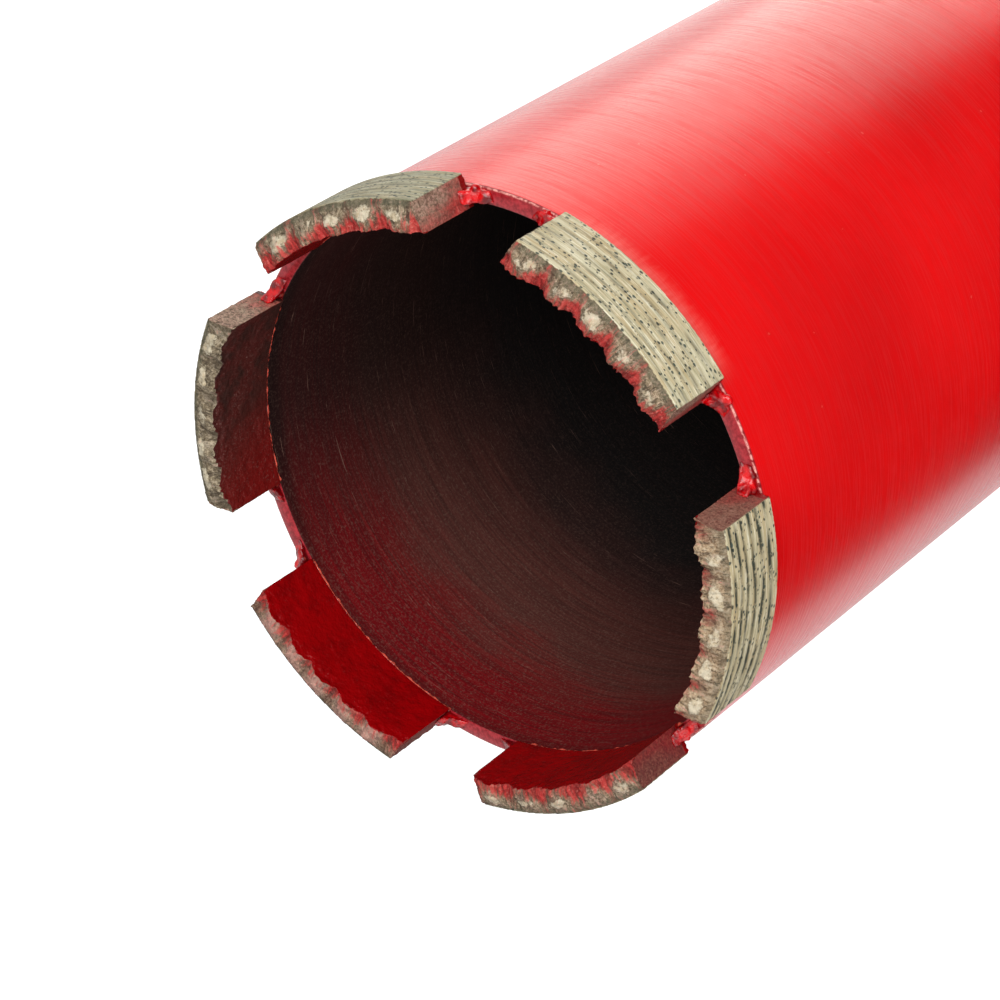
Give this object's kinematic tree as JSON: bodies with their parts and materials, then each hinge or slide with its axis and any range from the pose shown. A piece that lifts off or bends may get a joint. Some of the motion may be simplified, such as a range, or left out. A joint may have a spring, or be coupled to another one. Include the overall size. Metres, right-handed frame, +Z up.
{
  "type": "diamond core bit",
  "caption": "Wet diamond core bit: thin steel barrel with brazed, ridge-crowned diamond segments round the rim and a hexagonal hub threaded for the drill spindle.",
  "frame": {"origin": "centre of the hub's end face, the shoulder that seats on the drill spindle", "axes": "+Z up the bit's axis from the hub to the cutting crown; +X through the middle of the first segment"},
  "size_m": [0.0724, 0.0712, 0.3552],
  "materials": {
    "barrel_paint": "glossy red paint over fine turning marks",
    "hub_paint": "glossy red paint, bare steel in the thread",
    "braze_paint": "wet-looking red paint over lumpy braze",
    "diamond_bond": "ground sintered metal bond with dark diamond grit, red overspray where unground"
  },
  "bodies": {
    "root": {"barrel": "barrel_paint", "back_plate": "barrel_paint", "barrel_weld": "barrel_paint", "hub": "hub_paint", "hub_weld": "hub_paint", "segment_1": "diamond_bond", "segment_2": "diamond_bond", "segment_3": "diamond_bond", "segment_4": "diamond_bond", "segment_5": "diamond_bond", "segment_6": "diamond_bond", "braze_joint_1": "braze_paint", "braze_joint_2": "braze_paint", "braze_joint_3": "braze_paint", "braze_joint_4": "braze_paint", "braze_joint_5": "braze_paint", "braze_joint_6": "braze_paint"}
  },
  "joints": []
}
